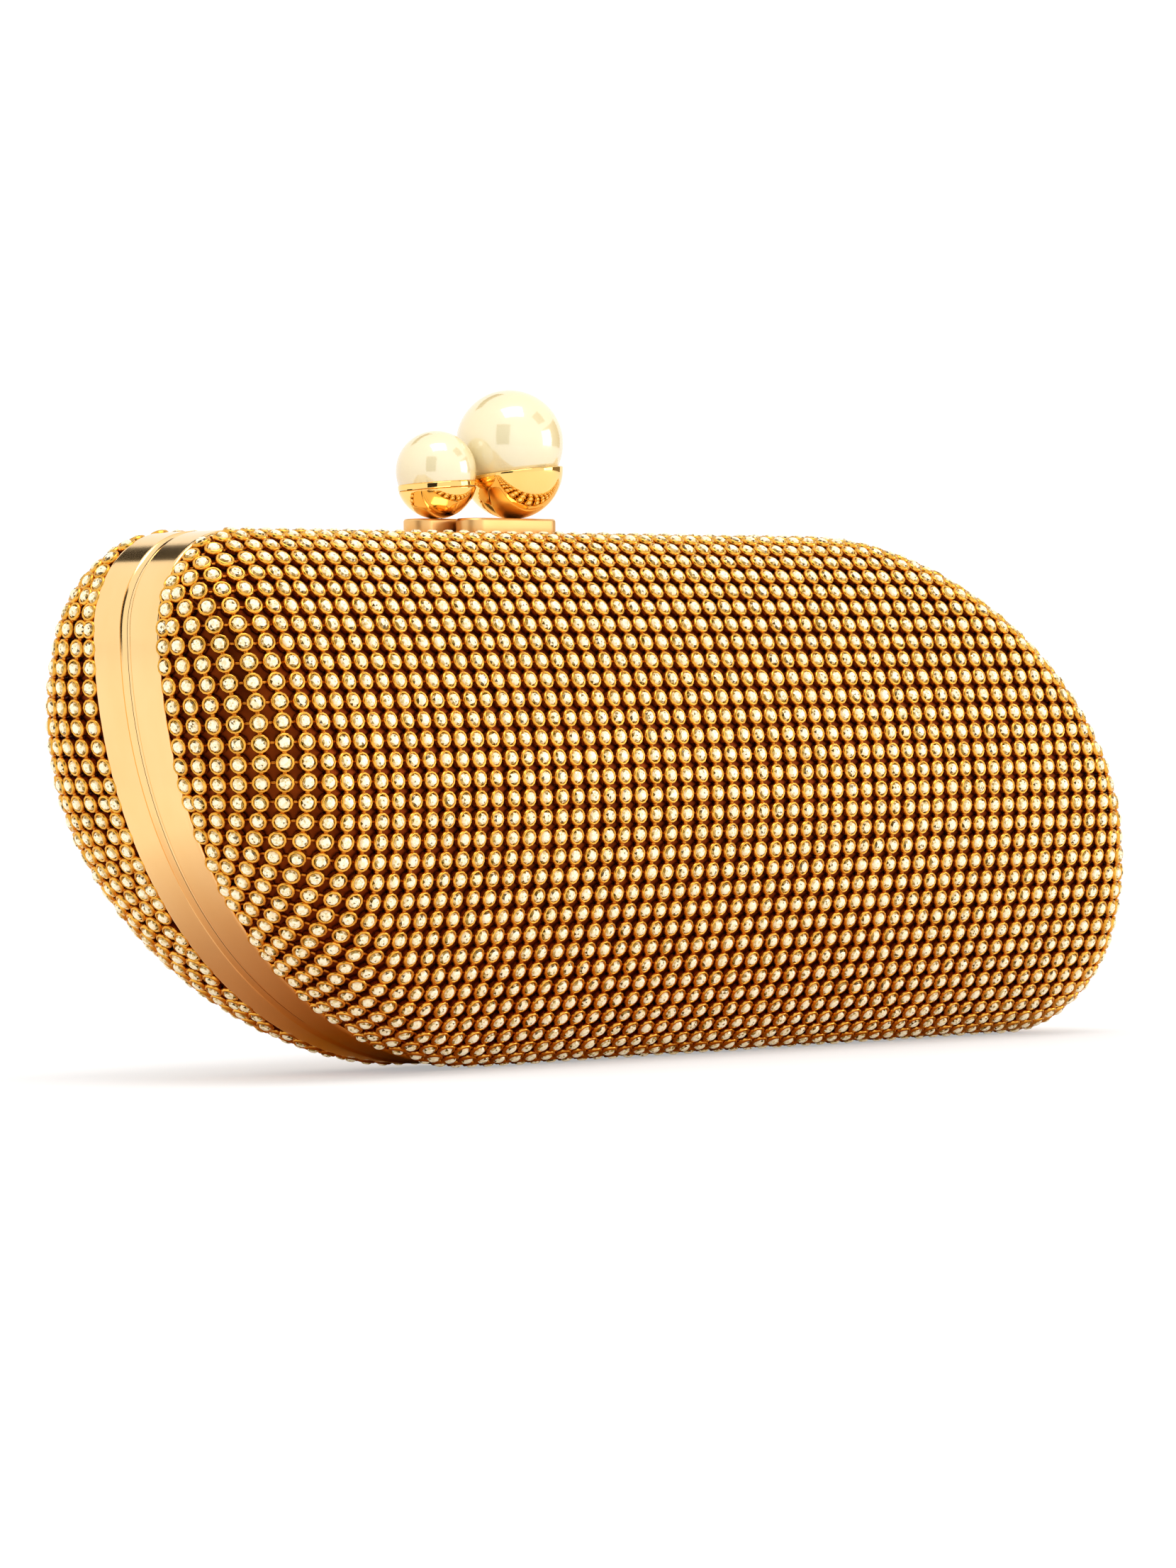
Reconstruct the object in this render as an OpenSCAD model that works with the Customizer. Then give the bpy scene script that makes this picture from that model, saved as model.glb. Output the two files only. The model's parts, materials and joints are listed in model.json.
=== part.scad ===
// Evening bag: a hard box clutch in two domed halves, hinged along its bottom
// edge and closed on top by two pearl knobs that meet over the seam.
// X runs along the bag, front is -Y, Z is up. The origin is the middle of the
// footprint, on the surface that the bag stands on.

/* [Outline] */
// Length of the bag
bag_length = 210; // [190:1:230]
// Height of the bag without its clasp
bag_height = 80; // [76:1:86]
// Radius of the two tight corners, top left and bottom right
corner_r = 15; // [13:0.5:17]

/* [Bands] */
// Depth of each polished band, from the seam to the dome
band_depth = 6.8; // [6.4:0.1:8]
// Wall of the bands
band_wall = 1.7; // [1.6:0.05:1.75]
// Half of the gap at the seam
seam_gap = 0.05; // [0.04:0.01:0.1]

/* [Domes] */
// How far each dome bulges beyond its band
dome_rise = 19.8; // [16:0.2:24]
// Squareness of the crown from top to bottom, where 2 is an ellipse
crown_exp = 1.75; // [1.6:0.05:2.2]
// Length of the rounding at each end of a dome
end_round = 14; // [12:0.5:18]
// Squareness of the rounding at the ends
end_exp = 2.5; // [2:0.1:3]
// How far the crystals are set in from the face of the bands
crystal_inset = 0.3; // [0.2:0.05:0.4]
// Thickness of the layer of crystals
crystal_t = 0.4; // [0.3:0.05:0.5]
// Thickness of the cup mesh that holds the crystals
mesh_t = 1; // [0.9:0.05:1.1]
// Thickness of the stamped metal shells
shell_t = 1; // [0.8:0.05:1]
// Thickness of the lining, cloth on card
lining_t = 0.8; // [0.6:0.05:0.9]

/* [Hinge] */
// Middle of the hinge along the bag
hinge_x = 20; // [10:1:25]
// Length of the hinge
hinge_length = 70; // [60:1:80]
// Outer radius of the barrel
barrel_r = 2; // [1.9:0.05:2]
// Radius of the hinge pin
pin_r = 0.8; // [0.7:0.05:0.9]
// Number of knuckles along the barrel
knuckles = 5; // [3:2:7]
// How far the rear half swings open, in degrees
open_angle = 70; // [60:1:72]

/* [Clasp] */
// Diameter of the large pearl, on the front half
large_pearl_d = 16.4; // [16:0.1:16.6]
// Diameter of the small pearl, on the rear half
small_pearl_d = 12.2; // [12:0.1:12.3]
// Place of the large pearl along the bag
large_pearl_x = -23.8; // [-23.8:0.1:-23]
// Place of the small pearl along the bag
small_pearl_x = -37.7; // [-38.5:0.1:-37.7]
// Height of the middle of the large pearl above the bands
large_pearl_z = 13.9; // [13.8:0.1:14.2]
// Height of the middle of the small pearl above the bands
small_pearl_z = 9.6; // [9.5:0.1:9.7]
// How far each pearl stands on its own side of the seam
pearl_y = 1.2; // [1.2:0.05:1.3]
// Thickness of the plates under the knobs
plate_t = 2.4; // [2:0.1:2.6]
// Width of the plates
plate_w = 5.2; // [4.6:0.1:5.8]

/* [Hidden] */

round_fn = 96;                          // smoothness of the large round shapes
small_fn = 48;                          // smoothness of pins, pegs and rivets
sweep_r = bag_height - corner_r;        // the wide sweeps fill the rest of each end
layer_gap = 0.1;                        // air between layers that nest
mesh_inset = crystal_inset + crystal_t;
shell_inset = mesh_inset + mesh_t + layer_gap;
lining_inset = shell_inset + shell_t + layer_gap;
mesh_lift = 0.4;                        // the mesh stands square on the band this far
shell_skirt_y = band_depth - 1.2;       // the shell's rim reaches this far into its band
lining_edge_y = 2.6;                    // the lining stops short of the seam
crown_rows = 26;                        // facets from top to bottom of a dome
end_cols = 6;                           // facets around each end of a dome

hinge_z = barrel_r + 0.05;              // the barrel stays just off the ground
leaf_t = 0.8;
leaf_reach = 5.3;                       // how far the leaves reach from the seam
leaf_lift = 0.05;                       // the leaves lie on the inside of the bands
knuckle_gap = 0.1;
knuckle_l = (hinge_length - (knuckles - 1) * knuckle_gap) / knuckles;
barrel_room = 0.25;                     // air around the barrel inside the bands
run_clear = 0.05;                       // running fit of the pin in the rear knuckles
groove_half = open_angle / 2 + 2;       // slope of the groove along the bottom seam
rivet_r = 0.8;
rivet_y = 3.9;
rivet_xs = [for (k = [0 : 3]) hinge_x + hinge_length * (-0.4 + 0.8 * k / 3)];

plate_y = seam_gap + 0.1 + plate_w / 2;
front_plate_xs = [large_pearl_x - 10.1, large_pearl_x + 4.6];
rear_plate_xs = [small_pearl_x - 1.9, small_pearl_x + 6];
peg_r = 0.7;
peg_y = 3.5;
peg_h = band_wall + plate_t - 0.8;
seat_clear = 0.03;                      // glue film between pearl and cup
large_cup_r = 7.75;
large_cup_rim = large_pearl_z - 4.3;    // height of the rim above the bands
small_cup_r = 6.45;
small_cup_rim = small_pearl_z - 2.7;
small_collar_h = 0.9;
screw_r = 0.8;
screw_head_r = 1.05;
screw_head_h = 1;
large_screw_tip = 2.4;                  // how far each screw reaches into its cup
small_screw_tip = 0.8;

gold = "#f2c98a";
deep_gold = "#d9a24a";
pearl_white = "#f6efdc";

// ---- Outline: tight corners top left and bottom right, wide sweeps between ----

// Right edge of the bag at height z, drawn in by g
function right_x(z, g) =
    z < corner_r
        ? bag_length / 2 - corner_r + sqrt(max(0, pow(corner_r - g, 2) - pow(corner_r - z, 2)))
        : bag_length / 2 - sweep_r + sqrt(max(0, pow(sweep_r - g, 2) - pow(z - corner_r, 2)));

// The outline is the same turned half a turn, so the left edge follows the right
function left_x(z, g) = -right_x(bag_height - z, g);

// One corner's waste: the square outside its arc
module corner_waste(r) {
    difference() {
        square(r + 1);
        circle(r, $fn = round_fn);
    }
}

// The outline as a flat shape, drawn in by g
module outline(g) {
    difference() {
        translate([-bag_length / 2 + g, g])
            square([bag_length - 2 * g, bag_height - 2 * g]);
        for (turn = [0, 180])
            translate([0, bag_height / 2]) rotate(turn) translate([0, -bag_height / 2]) {
                translate([bag_length / 2 - sweep_r, bag_height - sweep_r])
                    corner_waste(sweep_r - g);
                translate([bag_length / 2 - corner_r, corner_r]) mirror([0, 1])
                    corner_waste(corner_r - g);
            }
    }
}

// ---- Domes: a crown from top to bottom, rounded off at both ends ----

function superellipse(t, n) = pow(max(0, 1 - pow(min(1, max(0, t)), n)), 1 / n);

// One point of a dome drawn in by g whose rim is lifted off its band; row runs
// upwards and col to the right
function dome_point(row, col, g, lift) =
    let (half = bag_height / 2 - g,
         z = bag_height / 2 + half * sin(180 * row / crown_rows - 90),
         e = end_round - g,
         from_right = col > end_cols,
         step = from_right ? 2 * end_cols + 1 - col : col,
         inward = e * (1 - cos(90 * step / end_cols)),
         x = from_right ? right_x(z, g) - inward : left_x(z, g) + inward,
         rise = dome_rise - (g - crystal_inset) - lift,
         crown = superellipse(abs(z - bag_height / 2) / half, crown_exp),
         end = superellipse(1 - inward / e, end_exp))
    [x, -(band_depth + lift + rise * crown * end), z];

function dome_grid(g, lift) =
    [for (row = [0 : crown_rows]) for (col = [0 : 2 * end_cols + 1])
        dome_point(row, col, g, lift)];

// Numbers of the grid points around the rim of a dome
function rim_loop() =
    let (n = 2 * end_cols + 1, w = n + 1)
    concat([for (col = [0 : n]) col],
           [for (row = [1 : crown_rows]) row * w + n],
           [for (col = [n - 1 : -1 : 0]) crown_rows * w + col],
           [for (row = [crown_rows - 1 : -1 : 1]) row * w]);

// A closed wall of thickness t whose outer face is drawn in by g. Below its
// crown it runs straight on as a skirt down to edge_y.
module dome(g, t, lift, edge_y) {
    outer = dome_grid(g, lift);
    inner = dome_grid(g + t, lift);
    loop = rim_loop();
    n = len(outer);
    m = len(loop);
    w = 2 * end_cols + 2;
    to_edge = function (p) [p[0], -edge_y, p[2]];
    points = concat(outer, inner, [for (k = loop) to_edge(outer[k])],
                    [for (k = loop) to_edge(inner[k])]);
    cells = [for (row = [0 : crown_rows - 1]) for (col = [0 : w - 2]) row * w + col];
    outer_faces = [for (a = cells) each [[a, a + w, a + w + 1], [a, a + w + 1, a + 1]]];
    inner_faces = [for (f = outer_faces) [f[0] + n, f[2] + n, f[1] + n]];
    // The rim as a ladder of strips between consecutive loops of point numbers
    loops = [loop, [for (k = [0 : m - 1]) 2 * n + k],
             [for (k = [0 : m - 1]) 2 * n + m + k], [for (k = loop) k + n]];
    strips = [for (s = [0 : len(loops) - 2]) for (k = [0 : m - 1])
        let (a = loops[s][k], b = loops[s][(k + 1) % m],
             c = loops[s + 1][(k + 1) % m], d = loops[s + 1][k])
        each [[a, b, c], [a, c, d]]];
    polyhedron(points = points, faces = concat(outer_faces, inner_faces, strips), convexity = 6);
}

module rear_side() {
    mirror([0, 1, 0]) children();
}

module front_crystals() {
    color("#fff4d6") dome(crystal_inset, crystal_t, mesh_lift, band_depth);
}

module rear_crystals() {
    rear_side() front_crystals();
}

module front_cup_mesh() {
    color(deep_gold) dome(mesh_inset, mesh_t, mesh_lift, band_depth);
}

module rear_cup_mesh() {
    rear_side() front_cup_mesh();
}

module front_shell() {
    color("#8a7430") dome(shell_inset, shell_t, 0, shell_skirt_y);
}

module rear_shell() {
    rear_side() front_shell();
}

module front_lining() {
    color("#c9a76a") dome(lining_inset, lining_t, 0, lining_edge_y);
}

module rear_lining() {
    rear_side() front_lining();
}

// ---- Bands ----

// V groove along the bottom seam, with its point on the hinge axis, so that
// the lower edges of the bands stay apart as the bag opens
module seam_groove() {
    drop = hinge_z + 1;
    spread = drop * tan(groove_half);
    translate([-bag_length / 2, 0, 0]) rotate([90, 0, 90]) linear_extrude(bag_length)
        polygon([[0, hinge_z], [-spread, hinge_z - drop], [spread, hinge_z - drop]]);
}

module x_cylinder(r, x, length) {
    translate([x, 0, hinge_z]) rotate([0, 90, 0]) cylinder(r = r, h = length, $fn = round_fn);
}

// The ring of a band on the front side, before its holes
module band_ring() {
    translate([0, -seam_gap, 0]) rotate([90, 0, 0]) linear_extrude(band_depth - seam_gap)
        difference() {
            outline(0);
            outline(band_wall);
        }
}

// Holes for the leaf's rivets, the plate's pegs and the knob's screw
module band_holes(peg_xs, screw_x) {
    for (x = rivet_xs)
        translate([x, -rivet_y, -1]) cylinder(r = rivet_r, h = band_wall + 2, $fn = small_fn);
    for (x = peg_xs)
        translate([x, -peg_y, bag_height - band_wall - 1])
            cylinder(r = peg_r, h = band_wall + 2, $fn = small_fn);
    translate([screw_x, -pearl_y, bag_height - band_wall - 1])
        cylinder(r = screw_r, h = band_wall + 2, $fn = small_fn);
}

module band(peg_xs, screw_x) {
    difference() {
        band_ring();
        seam_groove();
        x_cylinder(barrel_r + barrel_room, hinge_x - hinge_length / 2 - 0.3, hinge_length + 0.6);
        band_holes(peg_xs, screw_x);
    }
}

module front_band() {
    color(gold) band(front_plate_xs, large_pearl_x);
}

module rear_band() {
    color(gold) rear_side() band(rear_plate_xs, small_pearl_x);
}

// ---- Hinge ----

function knuckle_x(k) = hinge_x - hinge_length / 2 + k * (knuckle_l + knuckle_gap);

// A leaf on the front side that carries every second knuckle from the given one
module hinge_leaf(first, bore_r) {
    own = [for (k = [first : 2 : knuckles - 1]) k];
    other = [for (k = [1 - first : 2 : knuckles - 1]) k];
    difference() {
        union() {
            translate([hinge_x - hinge_length / 2, -leaf_reach, band_wall + leaf_lift])
                cube([hinge_length, leaf_reach, leaf_t]);
            for (k = own)
                x_cylinder(barrel_r, knuckle_x(k), knuckle_l);
        }
        // Room for the other leaf's knuckles
        for (k = other)
            x_cylinder(barrel_r + barrel_room, knuckle_x(k) - knuckle_gap,
                       knuckle_l + 2 * knuckle_gap);
        x_cylinder(bore_r, hinge_x - hinge_length / 2 - 1, hinge_length + 2);
        for (x = rivet_xs)
            translate([x, -rivet_y, 0]) cylinder(r = rivet_r, h = 2 * band_wall, $fn = small_fn);
    }
}

module front_hinge_leaf() {
    color(deep_gold) hinge_leaf(0, pin_r);
}

module rear_hinge_leaf() {
    color(deep_gold) rear_side() hinge_leaf(1, pin_r + run_clear);
}

module hinge_pin() {
    color("silver") x_cylinder(pin_r, hinge_x - hinge_length / 2, hinge_length);
}

// Rivets are flush with the outside of the band and the inside of the leaf
module front_leaf_rivets() {
    color("silver")
        for (x = rivet_xs)
            translate([x, -rivet_y, 0])
                cylinder(r = rivet_r, h = band_wall + leaf_lift + leaf_t, $fn = small_fn);
}

module rear_leaf_rivets() {
    rear_side() front_leaf_rivets();
}

// ---- Clasp ----

// A plate with round ends on the front side, drilled from below for its pegs
module clasp_plate(xs, screw_x) {
    difference() {
        translate([0, -plate_y, bag_height]) {
            translate([xs[0], -plate_w / 2, 0]) cube([xs[1] - xs[0], plate_w, plate_t]);
            for (x = xs)
                translate([x, 0, 0]) cylinder(r = plate_w / 2, h = plate_t, $fn = round_fn);
        }
        for (x = xs)
            translate([x, -peg_y, bag_height - 1])
                cylinder(r = peg_r, h = peg_h - band_wall + 1, $fn = small_fn);
        translate([screw_x, -pearl_y, bag_height - 1])
            cylinder(r = screw_r, h = plate_t + 2, $fn = small_fn);
    }
}

module front_clasp_plate() {
    color(gold) clasp_plate(front_plate_xs, large_pearl_x);
}

module rear_clasp_plate() {
    color(gold) rear_side() clasp_plate(rear_plate_xs, small_pearl_x);
}

module plate_pegs(xs) {
    for (x = xs)
        translate([x, -peg_y, bag_height - band_wall])
            cylinder(r = peg_r, h = peg_h, $fn = small_fn);
}

module front_plate_pegs() {
    color("silver") plate_pegs(front_plate_xs);
}

module rear_plate_pegs() {
    color("silver") rear_side() plate_pegs(rear_plate_xs);
}

// A bowl of radius bowl_r cut flat on the plate and at its rim, with a seat for
// the pearl; collar_h is the height of a narrower ring above the rim
module pearl_cup(bowl_r, rim_z, pearl_r, pearl_z, screw_tip, collar_h) {
    bowl_z = plate_t + bowl_r - 0.05;
    difference() {
        union() {
            intersection() {
                translate([0, 0, bowl_z]) sphere(r = bowl_r, $fn = round_fn);
                translate([0, 0, plate_t]) cylinder(r = 2 * bowl_r, h = rim_z - plate_t);
            }
            if (collar_h > 0)
                translate([0, 0, rim_z - 1])
                    cylinder(r = pearl_r - 0.15, h = collar_h + 1, $fn = round_fn);
        }
        translate([0, 0, pearl_z]) sphere(r = pearl_r + seat_clear, $fn = round_fn);
        translate([0, 0, plate_t - 1]) cylinder(r = screw_r, h = 1 + screw_tip, $fn = small_fn);
    }
}

module large_pearl_cup() {
    color(deep_gold) translate([large_pearl_x, -pearl_y, bag_height])
        pearl_cup(large_cup_r, large_cup_rim, large_pearl_d / 2, large_pearl_z,
                  large_screw_tip, 0);
}

module small_pearl_cup() {
    color(deep_gold) translate([small_pearl_x, pearl_y, bag_height])
        pearl_cup(small_cup_r, small_cup_rim, small_pearl_d / 2, small_pearl_z,
                  small_screw_tip, small_collar_h);
}

module large_pearl() {
    color(pearl_white) translate([large_pearl_x, -pearl_y, bag_height + large_pearl_z])
        sphere(d = large_pearl_d, $fn = round_fn);
}

module small_pearl() {
    color(pearl_white) translate([small_pearl_x, pearl_y, bag_height + small_pearl_z])
        sphere(d = small_pearl_d, $fn = round_fn);
}

// A screw from inside the band, through the plate, into the bottom of the cup
module knob_screw(tip) {
    translate([0, 0, -band_wall]) {
        cylinder(r = screw_r, h = band_wall + plate_t + tip, $fn = small_fn);
        translate([0, 0, -screw_head_h]) cylinder(r = screw_head_r, h = screw_head_h, $fn = small_fn);
    }
}

module large_knob_screw() {
    color("silver") translate([large_pearl_x, -pearl_y, bag_height]) knob_screw(large_screw_tip);
}

module small_knob_screw() {
    color("silver") translate([small_pearl_x, pearl_y, bag_height]) knob_screw(small_screw_tip);
}

front_band();
rear_band();
front_shell();
rear_shell();
front_cup_mesh();
rear_cup_mesh();
front_crystals();
rear_crystals();
front_lining();
rear_lining();
front_hinge_leaf();
rear_hinge_leaf();
hinge_pin();
front_leaf_rivets();
rear_leaf_rivets();
front_clasp_plate();
rear_clasp_plate();
front_plate_pegs();
rear_plate_pegs();
large_pearl_cup();
small_pearl_cup();
large_pearl();
small_pearl();
large_knob_screw();
small_knob_screw();
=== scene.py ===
"""Evening bag: a hard box clutch in rhinestone mesh with a kissing pearl clasp.

Sizes are in millimetres, and lengths turn to metres as each mesh is made. The
front half lies on the -Y side of the seam and the rear half is its mirror image.
"""

import json
import logging
import math
from dataclasses import dataclass, field
from enum import Enum
from functools import cached_property, partial

import bmesh
import bpy
import numpy as np
from bpy.types import Material, Node, NodeSocket, NodeTree, Object
from mathutils import Matrix, Quaternion, Vector
from mathutils.bvhtree import BVHTree


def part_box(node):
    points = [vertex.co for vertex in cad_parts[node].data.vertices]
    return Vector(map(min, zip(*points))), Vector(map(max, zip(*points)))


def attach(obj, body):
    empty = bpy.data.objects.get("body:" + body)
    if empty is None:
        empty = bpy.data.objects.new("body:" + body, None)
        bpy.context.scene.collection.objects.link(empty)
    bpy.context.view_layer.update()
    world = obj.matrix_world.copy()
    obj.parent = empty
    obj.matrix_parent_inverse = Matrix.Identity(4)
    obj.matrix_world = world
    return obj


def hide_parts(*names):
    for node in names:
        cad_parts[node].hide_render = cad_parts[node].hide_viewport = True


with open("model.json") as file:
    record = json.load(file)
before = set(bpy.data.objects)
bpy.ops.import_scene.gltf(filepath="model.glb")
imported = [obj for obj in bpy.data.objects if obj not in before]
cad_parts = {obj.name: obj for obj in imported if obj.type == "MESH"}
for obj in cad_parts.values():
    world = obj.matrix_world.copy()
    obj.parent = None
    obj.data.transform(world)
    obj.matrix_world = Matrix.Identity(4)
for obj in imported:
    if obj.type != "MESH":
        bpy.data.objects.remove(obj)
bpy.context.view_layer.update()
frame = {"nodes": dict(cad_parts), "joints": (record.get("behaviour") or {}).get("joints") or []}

MM = 0.001
MIX_A, MIX_B, MIX_OUT = 6, 7, 2  # sockets of a Mix node that mixes colours
CORNERS = ((-1, -1), (1, -1), (1, 1), (-1, 1))
LOG = logging.getLogger("evening_bag")

Pair = tuple[float, float]
Surface = tuple[np.ndarray, list]
Cell = tuple[int, int]
Station = tuple[float, float, float, float]


# ---------------------------------------------------------------- helpers


def linear(code: str) -> tuple[float, float, float, float]:
    """Turns an sRGB hex colour to the linear colour that shaders take.

    Args:
        code: The colour, such as "#f2c98a".

    Returns:
        Red, green, blue and alpha in linear light.
    """
    parts = [int(code[k : k + 2], 16) / 255 for k in (1, 3, 5)]
    turned = [c / 12.92 if c <= 0.04045 else ((c + 0.055) / 1.055) ** 2.4 for c in parts]
    return (*turned, 1.0)


def set_inputs(node: Node, inputs: dict) -> None:
    """Gives a node's inputs their values or links.

    Args:
        node: A node in its tree.
        inputs: Input name or number to a value, a socket, or a node for its first output.
    """
    for name, value in inputs.items():
        source = value.outputs[0] if isinstance(value, Node) else value
        if isinstance(source, NodeSocket):
            node.id_data.links.new(source, node.inputs[name])
        else:
            node.inputs[name].default_value = source


def add_node(tree: NodeTree, kind: str, inputs: dict | None = None, **settings: object) -> Node:
    """Adds one node with its settings and its inputs.

    Args:
        tree: The tree that gets the node.
        kind: The node's type name.
        inputs: As set_inputs takes them.
        settings: Properties of the node itself.

    Returns:
        The new node.
    """
    node = tree.nodes.new(kind)
    for name, value in settings.items():
        setattr(node, name, value)
    set_inputs(node, inputs or {})
    return node


def new_material(name: str) -> tuple[Material, partial, Node]:
    """Makes a material with nothing set.

    Args:
        name: The material's name.

    Returns:
        The material, add_node tied to its tree, and its shader.
    """
    made = bpy.data.materials.new(name)
    made.use_nodes = True
    tree = made.node_tree
    return made, partial(add_node, tree), tree.nodes["Principled BSDF"]


def place_object(name: str, data: bpy.types.ID) -> Object:
    """Puts a mesh, a lamp or a camera into the scene.

    Args:
        name: The object's name.
        data: What it holds.

    Returns:
        The new object, at the origin.
    """
    made = bpy.data.objects.new(name, data)
    bpy.context.scene.collection.objects.link(made)
    return made


def mesh_object(name: str, points: np.ndarray, faces: list, close: bool = True) -> Object:
    """Makes an object from points in millimetres, with its faces turned outwards.

    Args:
        name: The object's name.
        points: Rows of x, y, z.
        faces: Lists of point numbers.
        close: True for a closed solid, whose normals can be worked out.

    Returns:
        The new object, at the origin.
    """
    mesh = bpy.data.meshes.new(name)
    mesh.from_pydata((np.asarray(points, float) * MM).tolist(), [], faces)
    body = bmesh.new()
    body.from_mesh(mesh)
    bmesh.ops.remove_doubles(body, verts=body.verts, dist=1e-7)
    bmesh.ops.dissolve_degenerate(body, edges=body.edges, dist=1e-7)
    if close:
        bmesh.ops.recalc_face_normals(body, faces=body.faces)
    body.to_mesh(mesh)
    body.free()
    return place_object(name, mesh)


def shade(piece: Object, crease: float) -> None:
    """Shades a piece smooth apart from its sharp edges.

    Args:
        piece: The piece.
        crease: The turn in degrees from which an edge is sharp.
    """
    body = bmesh.new()
    body.from_mesh(piece.data)
    for face in body.faces:
        face.smooth = True
    for edge in body.edges:
        if len(edge.link_faces) == 2:
            edge.smooth = edge.calc_face_angle(0.0) < math.radians(crease)
    body.to_mesh(piece.data)
    body.free()


def bridge(near: list[int], far: list[int]) -> list[list[int]]:
    """Faces between two closed loops of point numbers, one for each step along them."""
    steps = [(k, (k + 1) % len(near)) for k in range(len(near))]
    return [[near[k], near[after], far[after], far[k]] for k, after in steps]


class Ends(Enum):
    """What becomes of a loft's first and last ring."""

    CAPPED = "each gets a face"
    JOINED = "the last runs on to the first"
    POLES = "each is a point or an edge that needs nothing"


def loft(rings: np.ndarray, ends: Ends) -> Surface:
    """Joins rings of points into a surface that is closed the short way round.

    Args:
        rings: An array of ring, point, xyz.
        ends: What becomes of the first and last ring.

    Returns:
        The points and the faces.
    """
    count, around = rings.shape[:2]
    loops = [list(range(k * around, (k + 1) * around)) for k in range(count)]
    faces = []
    for near, far in zip(loops, loops[1:]):
        faces += bridge(near, far)
    if ends is Ends.JOINED:
        faces += bridge(loops[-1], loops[0])
    if ends is Ends.CAPPED:
        faces += [loops[0], loops[-1]]
    return rings.reshape(-1, 3), faces


def circle(radius: float, z: float, turns: np.ndarray) -> np.ndarray:
    """Points on a level circle about the Z axis, at turns in radians."""
    return np.stack([radius * np.cos(turns), radius * np.sin(turns), np.full(len(turns), z)], 1)


def lathe(profile: list[Pair], steps: int, ends: Ends) -> Surface:
    """Turns a profile of radius and height about the Z axis; a radius of 0 is a pole."""
    turns = np.linspace(0, 2 * math.pi, steps, endpoint=False)
    return loft(np.array([circle(r, z, turns) for r, z in profile]), ends)


def arc(cx: float, cy: float, r: float, start: float, end: float, steps: int) -> list[Pair]:
    """Points along an arc from start to end degrees, both ends included."""
    turns = np.radians(np.linspace(start, end, steps + 1))
    return [(cx + r * math.cos(t), cy + r * math.sin(t)) for t in turns]


class Side(Enum):
    """A half of the bag, and the sign of Y on its side of the seam."""

    FRONT = -1
    REAR = 1

    @property
    def label(self) -> str:
        """The half's word in piece names."""
        return self.name.lower()

    @property
    def body(self) -> str:
        """The CAD body that the half's pieces ride on."""
        return f"{self.label}_half"

    @property
    def flip(self) -> Vector:
        """Factors that take front points to this side of the seam."""
        return Vector((1.0, -float(self.value), 1.0))


# --------------------------------------------------------------- finishes


@dataclass(frozen=True)
class PlatedMetal:
    """A plated or bare metal with fine wear.

    Args:
        name: Name of the material.
        colour: sRGB colour of the bright metal.
        worn: sRGB colour where it is slightly rubbed or tarnished.
        roughness: Roughness of the bright metal.
        spread: How far the roughness varies either way.
        grain: Size of the wear in millimetres.
        scratch: Depth of the fine marks in millimetres.
        stretch: Scale of the marks along X, Y and Z; below 1 draws them out.
        worn_from: The noise at which the wear starts, and at which it is full.
        marks: Fine marks to one grain of wear.
        relief: Strength of the marks.
    """

    name: str
    colour: str
    worn: str
    roughness: float
    spread: float = 0.04
    grain: float = 6.0
    scratch: float = 0.002
    stretch: tuple[float, float, float] = (1.0, 1.0, 1.0)
    worn_from: Pair = (0.3, 0.75)
    marks: float = 8.0
    relief: float = 0.25

    def material(self) -> Material:
        """Builds the material.

        Returns:
            The material.
        """
        made, add, shader = new_material(self.name)
        place = add("ShaderNodeTexCoord").outputs["Object"]
        drawn = add("ShaderNodeMapping", {"Vector": place, "Scale": self.stretch})
        per_grain = 1 / (self.grain * MM)
        cloud = add("ShaderNodeTexNoise", {"Vector": drawn, "Scale": per_grain, "Detail": 4.0})
        bright, full = self.worn_from
        tint = add("ShaderNodeMapRange", {"Value": cloud, "From Min": bright, "From Max": full})
        colour = add(
            "ShaderNodeMix",
            {"Factor": tint, MIX_A: linear(self.colour), MIX_B: linear(self.worn)},
            data_type="RGBA",
        )
        low, high = self.roughness - self.spread, self.roughness + self.spread
        rough = add("ShaderNodeMapRange", {"Value": cloud, "To Min": low, "To Max": high})
        fine = self.marks * per_grain
        marks = add("ShaderNodeTexNoise", {"Vector": drawn, "Scale": fine, "Detail": 6.0})
        depth = self.scratch * MM
        bump = add("ShaderNodeBump", {"Height": marks, "Strength": self.relief, "Distance": depth})
        look = {"Metallic": 1.0, "Base Color": colour.outputs[MIX_OUT], "Roughness": rough}
        set_inputs(shader, {**look, "Normal": bump})
        return made


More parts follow.
